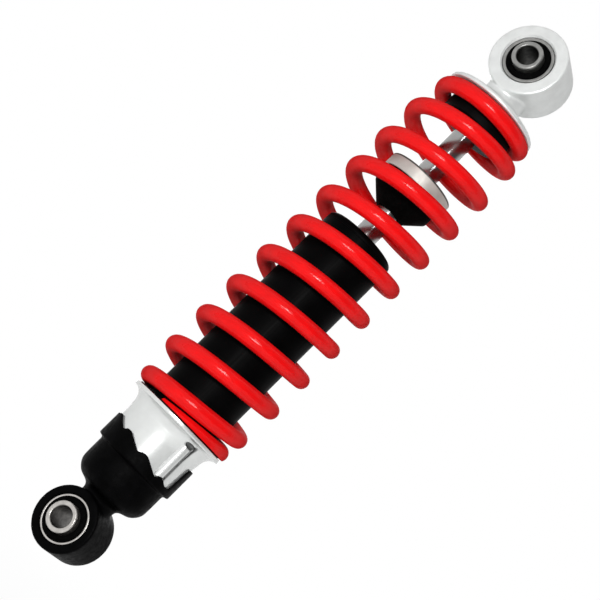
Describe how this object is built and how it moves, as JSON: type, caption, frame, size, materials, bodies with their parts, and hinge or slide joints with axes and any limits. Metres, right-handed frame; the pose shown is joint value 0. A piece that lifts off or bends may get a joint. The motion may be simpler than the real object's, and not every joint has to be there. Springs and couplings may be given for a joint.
{
  "type": "rear shock absorber",
  "caption": "Coil-over rear shock absorber: rubber-bushed bolt eyes, red coil spring round an oil damper, sliding bump stop on a bright rod, stepped collar that turns to set the preload.",
  "frame": {"origin": "centre of the upper eye, where its bolt crosses the shock's own axis", "axes": "+Z along the shock from the lower eye to the upper eye, Y along the bolts of both eyes, -Y the side that the picture faces"},
  "size_m": [0.0601, 0.0602, 0.335],
  "materials": {
    "black_paint": "satin black paint on steel",
    "black_casting": "satin black paint on cast aluminium",
    "cast_aluminium": "bright satin casting",
    "chrome": "hard chrome, ground and polished",
    "bare_steel": "turned bare steel",
    "plated_steel": "pale zinc plate",
    "red_enamel": "gloss red enamel",
    "rubber": "matt black rubber",
    "bronze": "sintered bronze",
    "nylon": "moulded black plastic"
  },
  "bodies": {
    "upper_sleeve": {"upper_inner_sleeve": "bare_steel"},
    "upper_end": {"upper_casting": "cast_aluminium", "upper_bush_shell": "bare_steel", "upper_bush_rubber": "rubber", "damper_rod": "chrome", "rod_lock_nut": "bare_steel", "top_out_stop": "rubber", "rebound_shims": "bare_steel", "piston": "bronze", "piston_ring": "nylon", "compression_shims": "bare_steel", "piston_nut": "bare_steel"},
    "spring_top": {"upper_spring_guide": "nylon"},
    "bump_carrier": {"bump_stop": "rubber", "bump_stop_cup": "plated_steel"},
    "spring_seat": {"coil_spring": "red_enamel", "spring_washer": "nylon"},
    "collar": {"preload_collar": "cast_aluminium"},
    "lower_end": {"lower_bracket": "black_casting", "lower_bush_shell": "bare_steel", "lower_bush_rubber": "rubber", "damper_tube": "black_paint", "tube_end_cap": "black_paint", "wiper_seal": "rubber", "oil_seal": "rubber", "rod_guide": "cast_aluminium", "rod_guide_bush": "bronze", "guide_o_ring": "rubber", "inner_tube": "bare_steel", "base_valve": "bare_steel"},
    "lower_sleeve": {"lower_inner_sleeve": "bare_steel"}
  },
  "joints": [
    {"name": "upper_pivot", "type": "hinge", "parent": "upper_sleeve", "child": "upper_end", "pos_m": [0, 0, 0], "axis": [0, 1, 0], "range_deg": [-12, 12], "stiffness_Nm_per_rad": 40},
    {"name": "rod_swivel", "type": "hinge", "parent": "upper_end", "child": "spring_top", "pos_m": [0, 0, -0.0302], "axis": [0, 0, 1], "continuous": true},
    {"name": "compress", "type": "slide", "parent": "spring_top", "child": "spring_seat", "axis": [0, 0, 1], "range_m": [0, 0.04], "stiffness_N_per_m": 18000, "springref_m": -0.012, "deforming": ["coil_spring"]},
    {"name": "bump_slide", "type": "slide", "parent": "upper_end", "child": "bump_carrier", "axis": [0, 0, 1], "range_m": [0, 0.0241]},
    {"name": "preload_turn", "type": "hinge", "parent": "spring_seat", "child": "collar", "pos_m": [0, 0, -0.2334], "axis": [0, 0, 1], "range_deg": [-108.05, 0.05]},
    {"name": "preload_rise", "type": "slide", "parent": "spring_seat", "child": "lower_end", "axis": [0, 0, 1], "range_m": [-0.0078, 0]},
    {"name": "lower_pivot", "type": "hinge", "parent": "lower_end", "child": "lower_sleeve", "pos_m": [0, 0, -0.3], "axis": [0, 1, 0], "range_deg": [-12, 12], "stiffness_Nm_per_rad": 40}
  ],
  "couplings": [
    {"joint": "bump_slide", "follows": "compress", "ratio": 0.6},
    {"joint": "preload_turn", "follows": "preload_rise", "rad_per_m": 241.66}
  ]
}
